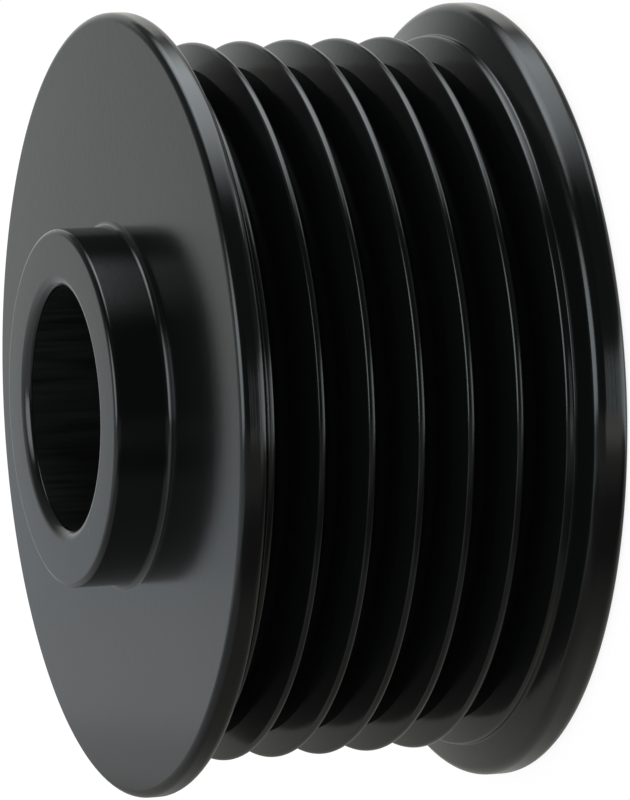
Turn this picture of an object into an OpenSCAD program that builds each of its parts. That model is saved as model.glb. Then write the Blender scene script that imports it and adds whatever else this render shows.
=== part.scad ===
// Alternator pulley for a multi-rib belt, turned from one bar of steel.
// It stands on its outer end: the axis is +Z, the origin lies on the axis in the plane of the
// outer face, and the short hub that seats against the alternator points up.
// The whole body is one closed section, drawn as [radius, height] and revolved about Z.

/* [Shaft bore] */
// Diameter of the bore that slides on the shaft
bore_d = 17; // [12:0.5:20]
// Leg of the chamfer at both ends of the bore
bore_chamfer = 0.45; // [0.2:0.05:1.5]

/* [Hub] */
// Outside diameter of the hub that stands out of the inner face
hub_d = 25.1; // [21:0.1:36]
// Height of the hub above the inner face
hub_h = 4; // [1:0.5:12]
// Rounding of the outer edge of the hub
hub_edge_r = 0.4; // [0.1:0.05:0.8]
// Fillet where the hub meets the inner face
hub_foot_r = 0.45; // [0.1:0.05:0.8]

/* [Rims] */
// Outside diameter of both rims
rim_d = 55; // [53:0.5:80]
// Thickness of the inner rim, on the hub side, at its outside diameter
inner_rim_t = 1.8; // [1.4:0.1:5]
// Thickness of the outer rim at its outside diameter
outer_rim_t = 2.4; // [1.8:0.1:6]
// Lean of the rim flanks, in degrees from a plane square to the axis
flank_lean = 20; // [10:1:45]
// Rounding between the inner face and its rim
inner_face_r = 0.6; // [0.1:0.05:0.7]
// Rounding of the inner rim on the belt side
inner_flank_r = 0.8; // [0.1:0.05:0.9]
// Rounding between the outer face and its rim
outer_face_r = 0.85; // [0.2:0.05:1]
// Rounding of the outer rim on the belt side
outer_flank_r = 0.9; // [0.1:0.05:1]
// Fillet where each rim flank meets the shoulder
flank_foot_r = 0.15; // [0.05:0.05:0.3]

/* [Belt track] */
// Diameter over the ribs
rib_d = 50.5; // [46:0.5:52.5]
// Distance from one groove to the next
groove_pitch = 3.56; // [2.5:0.01:5]
// Number of grooves
groove_count = 6; // [3:1:9]
// Angle between the two walls of a groove
groove_angle = 40; // [36:1:50]
// Rounding of each rib tip
tip_r = 0.3; // [0.15:0.05:0.4]
// Rounding of the first rib edge, beside the inner rim
inner_tip_r = 0.45; // [0.15:0.05:0.5]
// Rounding at the bottom of each groove
root_r = 0.5; // [0.2:0.05:0.7]
// Flat shoulder between each rim flank and the first rib tip
shoulder_w = 0.3; // [0.25:0.05:2]

/* [Nut recess] */
// Diameter of the recess that takes the shaft nut and its socket
recess_d = 35; // [28:0.5:38]
// Depth of the recess below the outer face
recess_depth = 13; // [4:0.5:16]
// Fillet round the floor of the recess
recess_floor_r = 0.8; // [0.2:0.1:2]
// Leg of the chamfer at the mouth of the recess
recess_chamfer = 0.8; // [0.3:0.1:2]

/* [Hidden] */
$fn = 180;
// Straight steps that stand for each rounding of the section
arc_steps = 8;
// Depth of a rim flank, and the height that it gains over that depth
rim_r = rim_d / 2;
rib_r = rib_d / 2;
flank_rise = (rim_r - rib_r) * tan(flank_lean);
// Heights of the first and last rib tips, and of the two faces
first_tip_z = outer_rim_t + flank_rise + shoulder_w;
last_tip_z = first_tip_z + groove_count * groove_pitch;
face_z = last_tip_z + shoulder_w + flank_rise + inner_rim_t;
top_z = face_z + hub_h;
// Centre radius of the groove bottoms, from walls that touch both the tip and root roundings
half_angle = groove_angle / 2;
tip_centre_r = rib_r - tip_r;
root_centre_r = tip_centre_r
    - (groove_pitch / 2 * cos(half_angle) - tip_r - root_r) / sin(half_angle);
black_coat = [0.09, 0.1, 0.1];

// Points of an arc in the section, by its centre [radius, height], radius and end angles
function arc(centre, radius, from, to) = [
    for (i = [0 : arc_steps])
        let (angle = from + (to - from) * i / arc_steps)
        centre + radius * [cos(angle), sin(angle)]
];

// Height from a sloping wall's corner to the centre of a rounding that touches both its sides
function lean_offset(radius, lean) = radius * (1 - sin(lean)) / cos(lean);

// Recess open to the outer face, then the bore up to the hub's end face
function inside_outline() = concat(
    [[recess_d / 2 + recess_chamfer, 0], [recess_d / 2, recess_chamfer]],
    arc([recess_d / 2 - recess_floor_r, recess_depth - recess_floor_r], recess_floor_r, 0, 90),
    [
        [bore_d / 2 + bore_chamfer, recess_depth],
        [bore_d / 2, recess_depth + bore_chamfer],
        [bore_d / 2, top_z - bore_chamfer],
        [bore_d / 2 + bore_chamfer, top_z]
    ]
);

// Hub from its end face down to the inner face
function hub_outline() = concat(
    arc([hub_d / 2 - hub_edge_r, top_z - hub_edge_r], hub_edge_r, 90, 0),
    arc([hub_d / 2 + hub_foot_r, face_z + hub_foot_r], hub_foot_r, 180, 270)
);

// One rim, drawn upwards from the track: its foot, its flank edge and its face edge
function rim_outline(thickness, flank_r, face_r) = concat(
    arc([rib_r + flank_foot_r, -lean_offset(flank_foot_r, flank_lean)],
        flank_foot_r, 180, 90 + flank_lean),
    arc([rim_r - flank_r, flank_rise + lean_offset(flank_r, flank_lean)],
        flank_r, flank_lean - 90, 0),
    arc([rim_r - face_r, flank_rise + thickness - face_r], face_r, 0, 90)
);

// One groove below the rib tip at a height: half a tip, the bottom, half the next tip.
// The upper tip may have a radius of its own, and its wall stays where it is.
function groove_outline(tip_z, upper_r) = concat(
    arc([rib_r - upper_r, tip_z + lean_offset(upper_r, half_angle) - lean_offset(tip_r, half_angle)],
        upper_r, 0, half_angle - 90),
    arc([root_centre_r, tip_z - groove_pitch / 2], root_r, 90 + half_angle, 270 - half_angle),
    arc([tip_centre_r, tip_z - groove_pitch], tip_r, 90 - half_angle, 0)
);

function reversed(points) = [for (i = [len(points) - 1 : -1 : 0]) points[i]];
function lifted(points, height) = [for (p = points) [p[0], p[1] + height]];
function mirrored(points) = [for (p = points) [p[0], -p[1]]];

// Outer surface from the inner face, over both rims and every groove, to the outer face
function outside_outline() = concat(
    reversed(lifted(rim_outline(inner_rim_t, inner_flank_r, inner_face_r),
        last_tip_z + shoulder_w)),
    [for (i = [0 : groove_count - 1],
        p = groove_outline(last_tip_z - i * groove_pitch, i == 0 ? inner_tip_r : tip_r)) p],
    lifted(mirrored(rim_outline(outer_rim_t, outer_flank_r, outer_face_r)),
        first_tip_z - shoulder_w)
);

module pulley() {
    color(black_coat)
        rotate_extrude()
            polygon(concat(inside_outline(), hub_outline(), outside_outline()));
}

pulley();
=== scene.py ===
# %% [markdown]
# An alternator pulley: a drum turned from one bar of steel, with six belt grooves between two
# rims, a short hub on the side that faces the alternator and a thin black coat all over.
# The model comes packed at its real size. It stands on its outer face, with the axis along +Z and
# the hub up. Sizes are written in millimetres and turned into metres where a thing is made.

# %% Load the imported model
import math

import bpy
import numpy as np
from mathutils import Matrix, Vector


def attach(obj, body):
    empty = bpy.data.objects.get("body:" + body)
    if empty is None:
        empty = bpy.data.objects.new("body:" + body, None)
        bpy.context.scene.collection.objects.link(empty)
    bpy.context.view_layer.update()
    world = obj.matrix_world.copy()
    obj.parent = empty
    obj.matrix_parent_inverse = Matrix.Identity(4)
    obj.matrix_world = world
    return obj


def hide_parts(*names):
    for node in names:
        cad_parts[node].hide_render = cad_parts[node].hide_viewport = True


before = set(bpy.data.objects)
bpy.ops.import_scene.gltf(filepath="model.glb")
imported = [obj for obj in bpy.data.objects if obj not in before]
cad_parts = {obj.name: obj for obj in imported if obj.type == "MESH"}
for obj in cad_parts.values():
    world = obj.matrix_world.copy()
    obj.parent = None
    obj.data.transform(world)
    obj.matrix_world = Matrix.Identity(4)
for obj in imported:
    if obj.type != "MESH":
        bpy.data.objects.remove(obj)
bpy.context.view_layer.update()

MM = 0.001

# %% [markdown]
# The section. A turned part is one outline spun about the axis, so the outline carries every form.
# It could be drawn by hand as a curve, but then no size in it could be read or changed. So it is
# written as corners, each with the radius that the cutting tool or a file leaves on it. A corner
# of a real part is never quite sharp, and that small radius is what catches the light. An edge
# that is only broken with a file gets the smallest one.

# %% Sizes of the pulley
bore_r, bore_chamfer = 8.5, 0.45
bore_mouth_inside, bore_mouth_outside = 0.4, 0.9
hub_r, hub_h, hub_edge, hub_foot = 12.55, 4.0, 0.4, 0.45
rim_r, rib_r = 27.5, 25.25
inner_rim_t, outer_rim_t = 1.8, 2.4
inner_face_edge, inner_flank_edge = 0.6, 0.8
outer_face_edge, outer_flank_edge = 0.85, 0.9
flank_lean = math.radians(20)
flank_foot = 0.15
pitch, grooves = 3.56, 6
half_angle = math.radians(20)
tip, inner_tip, root = 0.3, 0.45, 0.5
shoulder = 0.3
recess_r, recess_depth, recess_floor, recess_chamfer = 17.5, 13.0, 0.8, 0.8
broken = 0.06

flank_rise = (rim_r - rib_r) * math.tan(flank_lean)
first_tip = outer_rim_t + flank_rise + shoulder
last_tip = first_tip + grooves * pitch
face_z = last_tip + shoulder + flank_rise + inner_rim_t
top_z = face_z + hub_h
print("overall height", round(top_z, 3))

# %% [markdown]
# The grooves. Each wall touches both the rounding of a rib tip and the rounding at the bottom of
# the groove, so the sharp corners that the two roundings hide can be worked out from the pitch and
# the angle. Cutting six rings out of a plain drum would give the same form, but with ragged edges
# where the cuts meet. Here the corners go in the list, and the roundings follow from the radius
# beside each.

# %% The corners of the section
reach = 1 / math.sin(half_angle) - 1
wall_length = (pitch / 2 * math.cos(half_angle) - tip - root) / math.sin(half_angle)
root_bottom = rib_r - tip - wall_length - root
rib_apex, root_apex = rib_r + tip * reach, root_bottom - root * reach
lean_in = (1 - math.sin(half_angle)) / math.cos(half_angle)
corners = [
    (recess_r + recess_chamfer, 0, broken),
    (recess_r, recess_chamfer, broken),
    (recess_r, recess_depth, recess_floor),
    (bore_r + bore_chamfer, recess_depth, broken),
    (bore_r, recess_depth + bore_chamfer, broken),
    (bore_r, top_z - bore_chamfer, bore_mouth_inside),
    (bore_r + bore_chamfer, top_z, bore_mouth_outside),
    (hub_r, top_z, hub_edge),
    (hub_r, face_z, hub_foot),
    (rim_r, face_z, inner_face_edge),
    (rim_r, face_z - inner_rim_t, inner_flank_edge),
    (rib_r, last_tip + shoulder, flank_foot),
    (rib_r, last_tip - tip * lean_in, inner_tip),
]
for i in range(grooves):
    corners.append((root_apex, last_tip - (i + 0.5) * pitch, root))
    if i < grooves - 1:
        corners.append((rib_apex, last_tip - (i + 1) * pitch, tip))
corners += [
    (rib_r, first_tip + tip * lean_in, tip),
    (rib_r, first_tip - shoulder, flank_foot),
    (rim_r, outer_rim_t, outer_flank_edge),
    (rim_r, 0, outer_face_edge),
]
print(len(corners), "corners, groove bottoms at a radius of", round(root_bottom, 3))

# %% [markdown]
# Rounding a corner. A bevel modifier could round them all, but here each corner has its own
# radius. The circle that touches both sides has its centre on the line that halves the corner.
# Every point of the arc also gets its true surface direction. Blender would otherwise average the
# directions of neighbouring faces, and a wide flat face beside a narrow rounding would then shade
# as if it were bent, which a glossy coat shows at once.

# %% Round the corners
ARC_STEP = math.radians(9)
FEWEST_STEPS = 3


def rounded(points):
    """The outline as rows of [radius, height, direction's radius, direction's height]."""
    rows = []
    for i, (r, z, radius) in enumerate(points):
        here = np.array([r, z])
        before = np.array(points[i - 1][:2]) - here
        after = np.array(points[(i + 1) % len(points)][:2]) - here
        before, after = before / np.linalg.norm(before), after / np.linalg.norm(after)
        corner = math.acos(np.clip(before @ after, -1, 1))
        halving = (before + after) / np.linalg.norm(before + after)
        centre = here + halving * radius / math.sin(corner / 2)
        start = here + before * radius / math.tan(corner / 2) - centre
        turn = math.pi - corner
        side = 1 if before[0] * after[1] - before[1] * after[0] > 0 else -1
        steps = max(FEWEST_STEPS, math.ceil(turn / ARC_STEP))
        for k in range(steps + 1):
            a = side * turn * k / steps
            spoke = np.array([
                start[0] * math.cos(a) + start[1] * math.sin(a),
                -start[0] * math.sin(a) + start[1] * math.cos(a),
            ])
            rows.append([*(centre + spoke), *(side * spoke / radius)])
    return np.array(rows)


outline = rounded(corners)
print("outline points", len(outline))

# %% [markdown]
# The two flat faces. The photograph's reflections bend a little near the edge of the face and of
# the hub's ring, as they do on a flat that has been pulled down there by half a degree. Moving
# points would change the sizes, so only the surface direction of the flat's outer points leans
# out, and the shading runs smoothly between them and the inner ones.

# %% Let the flats fall away
hub_ring_from, hub_ring_fall = 10, 0.7
face_from, face_fall = 20, 0.5
STRAIGHT_UP, JUST = 0.999, 0.001


def fall_away(rows, height, beyond, degrees):
    """Leans the surface direction of a flat's points beyond a radius. Returns how many."""
    flat = (rows[:, 3] > STRAIGHT_UP) & (abs(rows[:, 1] - height) < JUST)
    edge = flat & (rows[:, 0] > beyond)
    rows[edge, 2:] = math.sin(math.radians(degrees)), math.cos(math.radians(degrees))
    return int(edge.sum())


leaning = fall_away(outline, top_z, hub_ring_from, hub_ring_fall)
leaning += fall_away(outline, face_z, face_from, face_fall)
print("points that lean out", leaning)

# %% [markdown]
# The end of the gloss. The coat is glossy on the ribs, and the bottoms of the grooves get painted
# shade: a darker black with almost no reflection. A finish could fade with the radius inside one
# material, but an exported model keeps the strength of a reflection only when it is one number. So
# each groove wall gets a point where the gloss ends and the painted shade begins, and the faces
# beyond it get a finish of their own further on. A height and a radius tell the grooves from the
# nut recess, which lies lower and further in.

# %% Split the groove walls
gloss_line = 23.5
grooves_above, grooves_outside = 3, 19


def split_walls(rows, radius):
    """Adds a point to each groove wall at one radius."""
    made = []
    for here, after in zip(rows, np.roll(rows, -1, axis=0)):
        made.append(here)
        wall = grooves_above < here[1] < last_tip and grooves_above < after[1] < last_tip
        if wall and (here[0] - radius) * (after[0] - radius) < 0:
            made.append(here + (after - here) * (radius - here[0]) / (after[0] - here[0]))
    return np.array(made)


outline = split_walls(outline, gloss_line)
print("outline points", len(outline), "radius", outline[:, 0].min(), "to", outline[:, 0].max())

# %% [markdown]
# Spinning the outline. A screw modifier could do this, but a mesh made point by point keeps the
# exact surface directions. Two hundred and eighty steps round leave the edge within two
# thousandths of a millimetre of a true circle.

# %% Spin the outline into the pulley
AROUND = 280


def spun(name, rows):
    """A closed mesh: the outline turned about the axis, with its own surface directions."""
    angles = np.arange(AROUND) * 2 * math.pi / AROUND
    c, s = np.cos(angles)[:, None], np.sin(angles)[:, None]
    r, z, nr, nz = (rows[:, k][None, :] for k in range(4))
    points = np.stack([r * c, r * s, z + 0 * c], -1).reshape(-1, 3) * MM
    normals = np.stack([nr * c, nr * s, nz + 0 * c], -1).reshape(-1, 3)
    n = len(rows)
    faces = [
        (j * n + i, j * n + i2, j2 * n + i2, j2 * n + i)
        for j, j2 in ((j, (j + 1) % AROUND) for j in range(AROUND))
        for i, i2 in ((i, (i + 1) % n) for i in range(n))
    ]
    mesh = bpy.data.meshes.new(name)
    mesh.from_pydata(points.tolist(), [], faces)
    mesh.polygons.foreach_set("use_smooth", [True] * len(faces))
    mesh.update()
    mesh.normals_split_custom_set_from_vertices([tuple(v) for v in normals])
    piece = bpy.data.objects.new(name, mesh)
    bpy.context.scene.collection.objects.link(piece)
    return piece


pulley = spun("turned_pulley", outline)
print("triangles", 2 * len(pulley.data.polygons))
print("first face points", tuple(round(v, 2) for v in pulley.data.polygons[0].normal))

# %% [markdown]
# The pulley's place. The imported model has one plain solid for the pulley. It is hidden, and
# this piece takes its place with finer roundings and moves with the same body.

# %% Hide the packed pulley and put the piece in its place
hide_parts("pulley")
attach(pulley, "root")
print(pulley.name, "stands for the packed pulley")

# %% [markdown]
# Nodes. A finish in Blender is a small graph of nodes, and each node takes four or five lines of
# code when it is added by hand. One helper that adds a node, sets its options and fills or links
# its inputs lets the finishes below read as recipes.

# %% A helper for nodes, and an empty material for the coat


def node(tree, kind, inputs=(), **settings):
    """Adds a node, sets its options and fills or links its inputs."""
    made = tree.nodes.new(kind)
    for key, value in settings.items():
        setattr(made, key, value)
    for key, value in dict(inputs).items():
        if isinstance(value, bpy.types.NodeSocket):
            tree.links.new(value, made.inputs[key])
        else:
            made.inputs[key].default_value = value
    return made


def empty_material(name):
    """A material with an empty node tree, its tree and its output."""
    made = bpy.data.materials.new(name)
    made.use_nodes = True
    made.node_tree.nodes.clear()
    return made, made.node_tree, made.node_tree.nodes.new("ShaderNodeOutputMaterial")


coat, tree, out = empty_material("black_coat")
print("material", coat.name)

# %% [markdown]
# The marks of the tool. A lathe leaves fine circles on a face and round a cylinder. Plain noise
# has no direction, and a picture wrapped round the part would have a seam. Noise that reads only
# the radius and the height makes rings on a face and lines round a cylinder, with no seam at all.

# %% Coordinates that run in circles


def place_in(tree):
    """The point, in metres, in the piece's own frame."""
    return node(tree, "ShaderNodeTexCoord").outputs["Object"]


def turned_coordinates(tree):
    """The point as [radius, height, 0] in metres, so that a texture runs in circles."""
    parts = node(tree, "ShaderNodeSeparateXYZ", {0: place_in(tree)})
    flat = node(tree, "ShaderNodeCombineXYZ", {0: parts.outputs[0], 1: parts.outputs[1]})
    radius = node(tree, "ShaderNodeVectorMath", {0: flat.outputs[0]}, operation="LENGTH")
    turned = node(tree, "ShaderNodeCombineXYZ", {0: radius.outputs["Value"], 1: parts.outputs[2]})
    return turned.outputs[0]


rings = turned_coordinates(tree)
print("nodes for the rings", len(tree.nodes))

# %% [markdown]
# The coat. Black coat on turned steel is a smooth, slightly soft mirror over an almost black
# colour. A clear layer over a dull one could give the gloss, but the real coat is a single layer,
# so one shader with a soft reflection does it. Two faint reliefs keep it from looking like glass:
# the rings that the tool left, nine to the millimetre, and the fine skin of the coat itself.

# %% The black coat
RINGS_TO_THE_METRE, SKIN_TO_THE_METRE = 9000.0, 1500.0


def noise(tree, at, scale, detail):
    """Noise from 0 to 1, with so many waves to the metre."""
    made = node(tree, "ShaderNodeTexNoise", {"Vector": at, "Scale": scale, "Detail": detail})
    return made.outputs["Fac"]


def relief(tree, height, strength, depth, over=None):
    """The surface direction of a shallow relief, over another one. The depth is in metres."""
    made = node(tree, "ShaderNodeBump", {
        "Height": height, "Strength": strength, "Distance": depth})
    if over:
        tree.links.new(over, made.inputs["Normal"])
    return made.outputs[0]


def shaded(tree, out, **inputs):
    """Ends a material in one shader. Underscores in the names stand for spaces."""
    named = {key.replace("_", " "): value for key, value in inputs.items()}
    shader = node(tree, "ShaderNodeBsdfPrincipled", {"IOR": 1.5, **named})
    tree.links.new(shader.outputs[0], out.inputs[0])


circles = noise(tree, rings, RINGS_TO_THE_METRE, detail=2.0)
tool_marks = relief(tree, circles, strength=0.4, depth=0.00001)
grain = noise(tree, place_in(tree), SKIN_TO_THE_METRE, detail=3.0)
skin = relief(tree, grain, strength=0.2, depth=0.00002, over=tool_marks)
shaded(tree, out, Base_Color=(0.0054, 0.0061, 0.0059, 1), Roughness=0.16, Normal=skin)
print("coat", coat.name, "nodes", len(tree.nodes))

# %% [markdown]
# The bore. Its coat is duller than outside, and fine streaks run along the axis. They are far too
# fine to model in the mesh. The same noise makes streaks when it is squeezed across the axis and
# left long along it, and it drives both the colour and the relief, so that the dark streaks are
# also the low ones. The streaks are partly relief and partly painted reflection: the pale ones in
# the colour stand for light stretched along the bore, and they make the bore lighter than the coat.

# %% The streaked bore, with painted reflection
STREAKS_TO_THE_METRE, ALONG_AXIS = 2200.0, 0.06
DARK_UP_TO, PALE_FROM = 0.36, 0.66


def two_tone(tree, value, dark, pale):
    """A colour that runs from a dark one to a pale one as the value grows."""
    ramp = node(tree, "ShaderNodeValToRGB", {0: value})
    stops = (DARK_UP_TO, dark), (PALE_FROM, pale)
    for stop, (place, colour) in zip(ramp.color_ramp.elements, stops):
        stop.position, stop.color = place, (*colour, 1)
    return ramp.outputs[0]


bore_coat_and_sheen, tree, out = empty_material("streaked_bore_and_painted_sheen")
squeezed = node(tree, "ShaderNodeMapping", {
    "Vector": place_in(tree), "Scale": (1.0, 1.0, ALONG_AXIS)})
streaks = noise(tree, squeezed.outputs[0], STREAKS_TO_THE_METRE, detail=4.0)
# the pale streaks in the colour are painted reflection stretched along the bore
shade = two_tone(tree, streaks, (0.0039, 0.0043, 0.0042), (0.0137, 0.0148, 0.0144))
scratches = relief(tree, streaks, strength=0.6, depth=0.00003)
shaded(tree, out, Base_Color=shade, Roughness=0.34, Normal=scratches)
print("bore", bore_coat_and_sheen.name, "nodes", len(tree.nodes))

# %% [markdown]
# The bottoms of the grooves. The gloss ends some way down each wall. Below it the finish is
# painted shade: a darker, faintly mottled black with almost no reflection, so that no light line
# shows down there. The reflection is set as one number on the shader itself.

# %% The groove bottoms, in painted shade
# painted shade: a darker black with almost no reflection for the bottoms of the grooves
groove_shade_coat, tree, out = empty_material("groove_bottom_painted_shade")
mottle = noise(tree, place_in(tree), SKIN_TO_THE_METRE, detail=3.0)
shade = two_tone(tree, mottle, (0.0040, 0.0045, 0.0043), (0.0052, 0.0059, 0.0057))
shaded(tree, out, Base_Color=shade, Roughness=0.4, Specular_IOR_Level=0.01)
print("grooves", groove_shade_coat.name, "nodes", len(tree.nodes))

# %% [markdown]
# Which finish goes where. Picking faces by hand would be slow and could miss some. Each face of
# the mesh lies between two neighbouring points of the outline, so the outline's radius and height
# say which faces belong to the bore and which to the bottoms of the grooves.

# %% Put the finishes on
GLOSSY, STREAKED, SHADED_BOTTOM = range(3)
STRAIGHT_IN = -0.99


def bands_between(points):
    """Marks each band of faces whose two edges are both marked points."""
    return points & np.roll(points, -1)


for finish in (coat, bore_coat_and_sheen, groove_shade_coat):
    pulley.data.materials.append(finish)
radius, height, leans_out = outline[:, 0], outline[:, 1], outline[:, 2]
in_bore = (leans_out < STRAIGHT_IN) & (radius < bore_r + JUST)
in_groove = (radius < gloss_line + JUST) & (radius > grooves_outside)
in_groove &= (height > grooves_above) & (height < last_tip)
band = np.full(len(outline), GLOSSY)
# the bottoms of the grooves get the painted shade
band[bands_between(in_groove)] = SHADED_BOTTOM
band[bands_between(in_bore)] = STREAKED
pulley.data.polygons.foreach_set("material_index", np.tile(band, AROUND).tolist())
print("bands of the bore", (band == STREAKED).sum(), "and of the grooves", (band == SHADED_BOTTOM).sum())

# %% [markdown]
# The camera. The photograph looks across the pulley from a little above the hub's face, with the
# picture turned so that the axis lies level and the hub points left. Aiming a camera at the pulley
# would leave its roll open, so it is built from the three directions of that view, at a long focal
# length and half a metre away. The angles, the distance and the scale come from fitting circles of
# the pulley to the photograph.

# %% The camera
PHOTO_LONG_SIDE_PX = 800
above_face = math.radians(19.375)
roll = math.radians(2.781)
distance = 480.784
pixels_per_mm = 14.135
aim = Vector((-0.055, 0.268, 0.0))
centre_height = 12.98
SENSOR_WIDTH = 36.0

cos_above, sin_above = math.cos(above_face), math.sin(above_face)
cos_roll, sin_roll = math.cos(roll), math.sin(roll)
axis_away = Vector((cos_above * cos_roll, cos_above * sin_roll, -sin_above))
near_side = Vector((sin_above * cos_roll, sin_above * sin_roll, cos_above))
level = Vector((-sin_roll, cos_roll, 0.0))
to_world = Matrix((level, -near_side, -axis_away))
stand = to_world @ (Vector((0, 0, distance)) - aim) + Vector((0, 0, centre_height))

lens = bpy.data.cameras.new("camera")
lens.sensor_width = SENSOR_WIDTH
lens.lens = pixels_per_mm * distance / PHOTO_LONG_SIDE_PX * SENSOR_WIDTH
lens.clip_start, lens.clip_end = 0.01, 20.0
camera = bpy.data.objects.new("camera", lens)
bpy.context.scene.collection.objects.link(camera)
camera.matrix_world = Matrix.Translation(stand * MM) @ to_world.to_4x4()
bpy.context.scene.camera = camera
print("camera at", [round(v, 4) for v in camera.location], "lens", round(lens.lens, 1))

# %% [markdown]
# The studio. A glossy black part shows little of its own colour, so what it looks like is what
# stands around it. Here that is a pale sweep behind and below, a dark ceiling, a round soft box
# overhead, a strip of light low in front and the dark of the room behind the camera. Lamps could
# stand for them, but the world can give each as a soft-edged patch of the sky, which leaves no
# noise. First the sky needs its directions. The photograph's up is +X here and its left is +Z, so
# the patches are placed by the angle above the ground and the angle round the pulley.

# %% Directions in the sky
world = bpy.data.worlds.new("studio")
bpy.context.scene.world = world
world.use_nodes = True
sky = world.node_tree
sky.nodes.clear()


def math2(kind, a, b=0.0):
    """A sum of one kind. At least one of the two is a socket, which knows its tree."""
    tree = (a if isinstance(a, bpy.types.NodeSocket) else b).id_data
    return node(tree, "ShaderNodeMath", {0: a, 1: b}, operation=kind).outputs[0]


def times(a, b):
    """Two numbers multiplied. With two masks it is 1 where both are 1."""
    return math2("MULTIPLY", a, b)


direction = node(sky, "ShaderNodeTexCoord").outputs["Generated"]
xyz = node(sky, "ShaderNodeSeparateXYZ", {0: direction})
photo_up, to_camera = xyz.outputs[0], times(xyz.outputs[1], -1.0)
photo_down, from_camera = times(photo_up, -1.0), times(to_camera, -1.0)
round_angle = times(math2("ARCTAN2", photo_up, to_camera), math.degrees(1))
rise_angle = times(math2("ARCSINE", xyz.outputs[2]), math.degrees(1))
drop_angle = times(rise_angle, -1.0)
print("the angle round starts at the camera's side and grows towards the photograph's top")

# %% [markdown]
# Masks. A patch of light is a level and the place where it lies. An edge with a blur looks like
# the edge of a real soft box, and it also keeps the render free of steps and noise. Two edges make
# a band, two bands multiplied make a window, and a patch is laid over what is there already.

# %% Masks and patches


def past(value, at, blur):
    """0 before a place and 1 past it, fading over the blur on both sides."""
    return node(value.id_data, "ShaderNodeMapRange", {
        "Value": value, "From Min": at - blur, "From Max": at + blur,
    }, interpolation_type="SMOOTHSTEP").outputs[0]


def between(value, low, high):
    """1 between two places, each given as a place and its blur."""
    return math2("SUBTRACT", past(value, *low), past(value, *high))


def lay(below, above, mask):
    """Lays a level over what is there already."""
    return node(mask.id_data, "ShaderNodeMix", {
        "Factor": mask, 2: below, 3: above}, data_type="FLOAT").outputs[0]


def lay_all(below, patches):
    """Lays a list of patches, each given as its level and its mask, one over the other."""
    for level_here, mask in patches:
        below = lay(below, level_here, mask)
    return below


behind = past(from_camera, 0.45, 0.25)
in_front = past(to_camera, -0.1, 0.2)
print("masks for what is behind and in front, nodes", len(sky.nodes))

# %% [markdown]
# The sweep and the room. Each line is one patch, from the pale sweep all round to the dark things
# in front of it. The order matters, because a later patch covers an earlier one.

# %% The sweep, the ceiling and the dark room
SWEEP, CEILING_TILT = 0.82, 0.003
tilted_up = math2("ADD", photo_up, times(rise_angle, CEILING_TILT))
room_round = between(round_angle, (-52, 8), (95, 4))
room_rise = between(rise_angle, (-62, 6), (62, 8))
light = lay_all(SWEEP, [
    # the sweep below, then its bands behind the pulley from low to high, then overhead
    (0.52, past(drop_angle, 29, 8)),
    (0.7, times(past(rise_angle, 9, 4), behind)),
    (0.44, times(past(rise_angle, 17.2, 4.8), behind)),
    (0.56, times(past(rise_angle, 42, 8), behind)),
    (0.45, past(rise_angle, 66, 10)),
    # the ceiling on the hub's side, its middle, and its paler end below
    (0.14, times(past(rise_angle, 24, 5), past(photo_up, 0.2, 0.1))),
    (0.13, times(past(tilted_up, 0.61, 0.03), past(rise_angle, -26, 6))),
    (0.3, times(past(photo_up, 0.36, 0.1), past(drop_angle, 34, 8))),
    # the dark room behind the camera, and the corner of it that is a little less dark
    (0.03, times(room_round, room_rise)),
    (0.1, times(between(round_angle, (5, 8), (62, 8)), past(drop_angle, 22, 4))),
])
print("the sweep and the room, nodes", len(sky.nodes))

# %% [markdown]
# The strip and the round box. The strip of light lies low in front and shows as the long light
# along the rims. The round soft box hangs overhead and gives the hub its soft lights. A circle is
# easiest to place by the angle from its middle, which one dot product gives.

# %% The strip of light and the round soft box


def toward(round_deg, rise_deg):
    """The direction with these two angles."""
    a, b = math.radians(round_deg), math.radians(rise_deg)
    return Vector((math.sin(a) * math.cos(b), -math.cos(a) * math.cos(b), math.sin(b)))


def disc(middle, inner, outer):
    """1 round a direction, fading between two angles from it."""
    dot = node(sky, "ShaderNodeVectorMath", {0: direction, 1: middle}, operation="DOT_PRODUCT")
    return node(sky, "ShaderNodeMapRange", {
        "Value": dot.outputs["Value"],
        "From Min": math.cos(math.radians(outer)), "From Max": math.cos(math.radians(inner)),
    }, interpolation_type="SMOOTHSTEP").outputs[0]


strip = times(between(photo_up, (-0.33, 0.05), (0.13, 0.05)), in_front)
box_middle = toward(22, 72)
round_box = disc(box_middle, 9, 27)
studio_level = lay_all(light, [
    (1.3, times(strip, past(drop_angle, 20.8, 1.5))),
    (2.2, times(strip, past(drop_angle, 50, 9))),
    (3.3, round_box),
])
print("the round soft box lies towards", tuple(round(v, 2) for v in box_middle))

# %% [markdown]
# Tints. The soft boxes are a little blue, the sweep is a greenish grey with a bluer half behind
# and below, and what comes back from the far side is warm. Coloured lamps could do this too, but
# here a tint can be laid by the same masks as the light.

# %% Tints
TINT_ALL_ROUND = (0.953, 1.0, 0.977, 1)


def tinted(below, colour, mask):
    """Lays a tint over the tints so far."""
    return node(mask.id_data, "ShaderNodeMix", {
        "Factor": mask, 6: below, 7: (*colour, 1)}, data_type="RGBA").outputs[2]


tint = tinted(TINT_ALL_ROUND, (0.9, 1.0, 1.08), times(behind, past(photo_down, 0.01, 0.03)))
tint = tinted(tint, (1.0, 1.0, 0.95), times(behind, past(drop_angle, 4, 8)))
tint = tinted(tint, (0.9, 1.0, 1.02), strip)
tint = tinted(tint, (0.9, 1.0, 1.05), round_box)
print("tints laid, nodes", len(sky.nodes))

# %% [markdown]
# What the camera sees behind the pulley is plain white. Soft light that only brightens the coat's
# own colour comes from all round at one level, so that the colour renders as it is written. The
# kind of ray tells the three apart, so one sky can be all of them.

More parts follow.
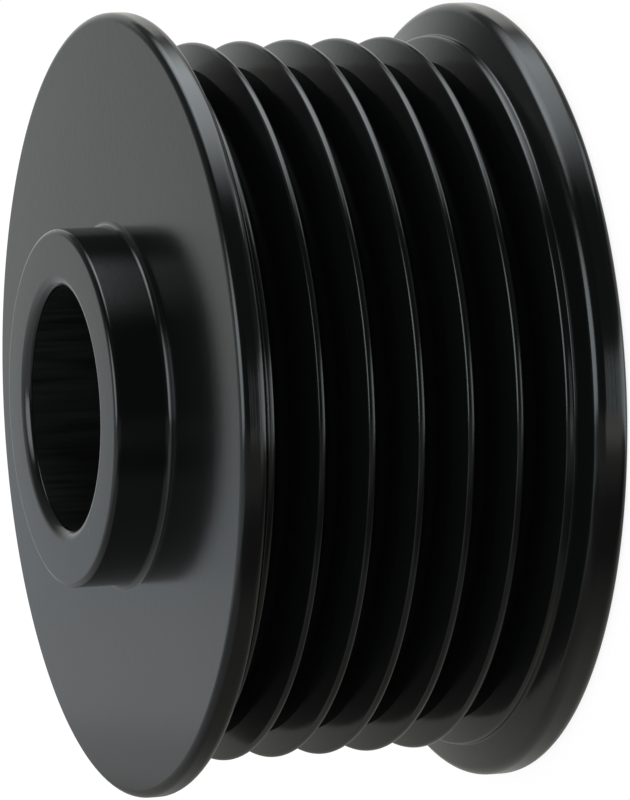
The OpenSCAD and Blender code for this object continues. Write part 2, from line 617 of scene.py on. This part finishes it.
# %% Join the sky
SOFT_LIGHT, WHITE = 0.75, (1, 1, 1, 1)
ray = node(sky, "ShaderNodeLightPath").outputs
light = lay(SOFT_LIGHT, studio_level, ray["Is Glossy Ray"])
light = lay(light, 1.0, math2("MAXIMUM", ray["Is Camera Ray"], ray["Is Transmission Ray"]))
colour = node(sky, "ShaderNodeMix", {
    "Factor": ray["Is Glossy Ray"], 6: WHITE, 7: tint}, data_type="RGBA").outputs[2]
background = node(sky, "ShaderNodeBackground", {"Color": colour, "Strength": light})
node(sky, "ShaderNodeOutputWorld", {0: background.outputs[0]})
print("sky nodes", len(sky.nodes))

# %% [markdown]
# The table. In the photograph the pulley rolls on its rims on a pale table, which is dark close to
# it where it shades the table. A patch of the sky is endlessly far away and would show in the
# wrong place on the rims, so the table is a card at its real place. Only the reflections need it,
# so the camera and the shadows pass it by. Its light is laid in patches, as the sky's is.

# %% The light on the table


def along_and_across(tree):
    """Where a point of a card lies, in millimetres: away from the camera, and up the axis."""
    parts = node(tree, "ShaderNodeSeparateXYZ", {0: place_in(tree)})
    return times(parts.outputs[1], 1 / MM), times(parts.outputs[2], 1 / MM)


table, tree, out = empty_material("shaded_table")
along, across = along_and_across(tree)
nearer, lower = times(along, -1.0), times(across, -1.0)
not_high = math2("SUBTRACT", 1.0, past(across, 7, 7))
level_here = lay_all(0.18, [
    # the table's shade under the pulley
    (0.28, past(along, -10, 4)),
    (0.4, times(not_high, past(along, -24, 8))),
    (0.34, past(across, 30, 3)),
    (0.46, times(past(across, 34, 4), past(along, 0, 12))),
    # the dark in front of it, which ends further off
    (0.06, past(nearer, 34, 5)),
    (0.22, past(nearer, 62, 12)),
    # the lit table beside the shade, in front of it and behind it
    (0.7, times(past(across, 62, 10), past(along, -60, 20))),
    (1.0, times(past(nearer, 95, 20), past(lower, 20, 12))),
    (0.6, past(along, 112, 4)),
])
warm = tinted((1.01, 1.0, 0.93, 1), (0.96, 1.0, 1.02), past(across, 30, 8))
glow = node(tree, "ShaderNodeEmission", {"Color": warm, "Strength": level_here})
tree.links.new(glow.outputs[0], out.inputs[0])
print("table nodes", len(tree.nodes))

# %% [markdown]
# The card is one flat face just under the rims, as the photograph sees them, so it stands upright
# here beside the pulley. The soft box further on is the same kind of card, so the steps that make
# one and keep it in the reflections are written once.

# %% The table card
TABLE_AT, TABLE_ALONG, TABLE_UP = -27.8, (-180, 420), (-160, 240)


def flat_card(name, corners, material):
    """A flat card between four corners, given in millimetres."""
    mesh = bpy.data.meshes.new(name)
    mesh.from_pydata([tuple(v * MM for v in corner) for corner in corners], [], [(0, 1, 2, 3)])
    mesh.materials.append(material)
    made = bpy.data.objects.new(name, mesh)
    bpy.context.scene.collection.objects.link(made)
    return made


def upright_card(name, x, along_y, up_z, material):
    """A card at one x, between two y and two z."""
    (y0, y1), (z0, z1) = along_y, up_z
    return flat_card(name, [(x, y0, z0), (x, y1, z0), (x, y1, z1), (x, y0, z1)], material)


def only_reflected(card):
    """Keeps a card in reflections, and hides it from every other kind of ray."""
    for kind in ("camera", "diffuse", "transmission", "shadow"):
        setattr(card, "visible_" + kind, False)


card = upright_card("table_card", TABLE_AT, TABLE_ALONG, TABLE_UP, table)
only_reflected(card)
print("table card", [round(v / MM) for v in card.dimensions])

# %% [markdown]
# The long soft box. In the photograph it hangs close above the pulley, because its reflection
# shifts from rib to rib. A patch of the sky would look the same in each rib, so it is a card at
# about its real distance. Its light fades towards the edges, where it lets the rest of the room
# show, and it is brighter on the hub's side.

# %% The long soft box
LEVEL_LOW, LEVEL_MIDDLE, LEVEL_HIGH = 1.9, 2.6, 4.4
BOX_AT, BOX_ALONG, BOX_UP = 58, (-80, 50), (-70, 90)
lamp, tree, out = empty_material("soft_box_light")
along, across = along_and_across(tree)
level_here = lay_all(LEVEL_LOW, [
    (LEVEL_MIDDLE, past(across, -15, 5)),
    (LEVEL_HIGH, past(across, 14, 22)),
])
main_part = times(between(along, (-37, 18), (6, 12)), between(across, (-20, 6), (41, 10)))
low_corner = times(between(along, (-46, 8), (-19, 5)), between(across, (-52, 9), (-22, 5)))
lit_part = math2("MAXIMUM", main_part, low_corner)
glow = node(tree, "ShaderNodeEmission", {"Color": (0.93, 1.0, 1.03, 1), "Strength": level_here})
clear = node(tree, "ShaderNodeBsdfTransparent")
mixed = node(tree, "ShaderNodeMixShader", {0: lit_part, 1: clear.outputs[0], 2: glow.outputs[0]})
tree.links.new(mixed.outputs[0], out.inputs[0])

long_box = upright_card("long_soft_box", BOX_AT, BOX_ALONG, BOX_UP, lamp)
only_reflected(long_box)
print("long soft box", [round(v / MM) for v in long_box.dimensions])

# %% [markdown]
# The floor is a plain pale sheet just below the pulley. A really white floor would throw light up
# into the grooves, so its own colour is a middle grey, and a glow that only the camera sees makes
# it look white. It keeps the soft shadow under the rim.

# %% The floor
FLOOR_HALF, FLOOR_BELOW = 1500, 0.02
FLOOR_GREY, FLOOR_GLOW = 0.2, 0.9
paper, tree, out = empty_material("pale_paper")
lit = node(tree, "ShaderNodeBsdfDiffuse", {"Color": (FLOOR_GREY, FLOOR_GREY, FLOOR_GREY, 1)})
ray = node(tree, "ShaderNodeLightPath").outputs
seen = math2("MAXIMUM", ray["Is Camera Ray"], ray["Is Transmission Ray"])
glow = node(tree, "ShaderNodeEmission", {"Color": WHITE, "Strength": times(seen, FLOOR_GLOW)})
both = node(tree, "ShaderNodeAddShader", {0: lit.outputs[0], 1: glow.outputs[0]})
tree.links.new(both.outputs[0], out.inputs[0])

floor = flat_card("floor", [
    (x * FLOOR_HALF, y * FLOOR_HALF, 0) for x, y in ((-1, -1), (1, -1), (1, 1), (-1, 1))
], paper)
floor.location.z = -FLOOR_BELOW * MM
floor.visible_glossy = False
print("floor", [round(v, 2) for v in floor.dimensions])

# %% [markdown]
# Colours are shown as they are, with no film look.

# %% View and finish
bpy.context.scene.view_settings.view_transform = "Standard"
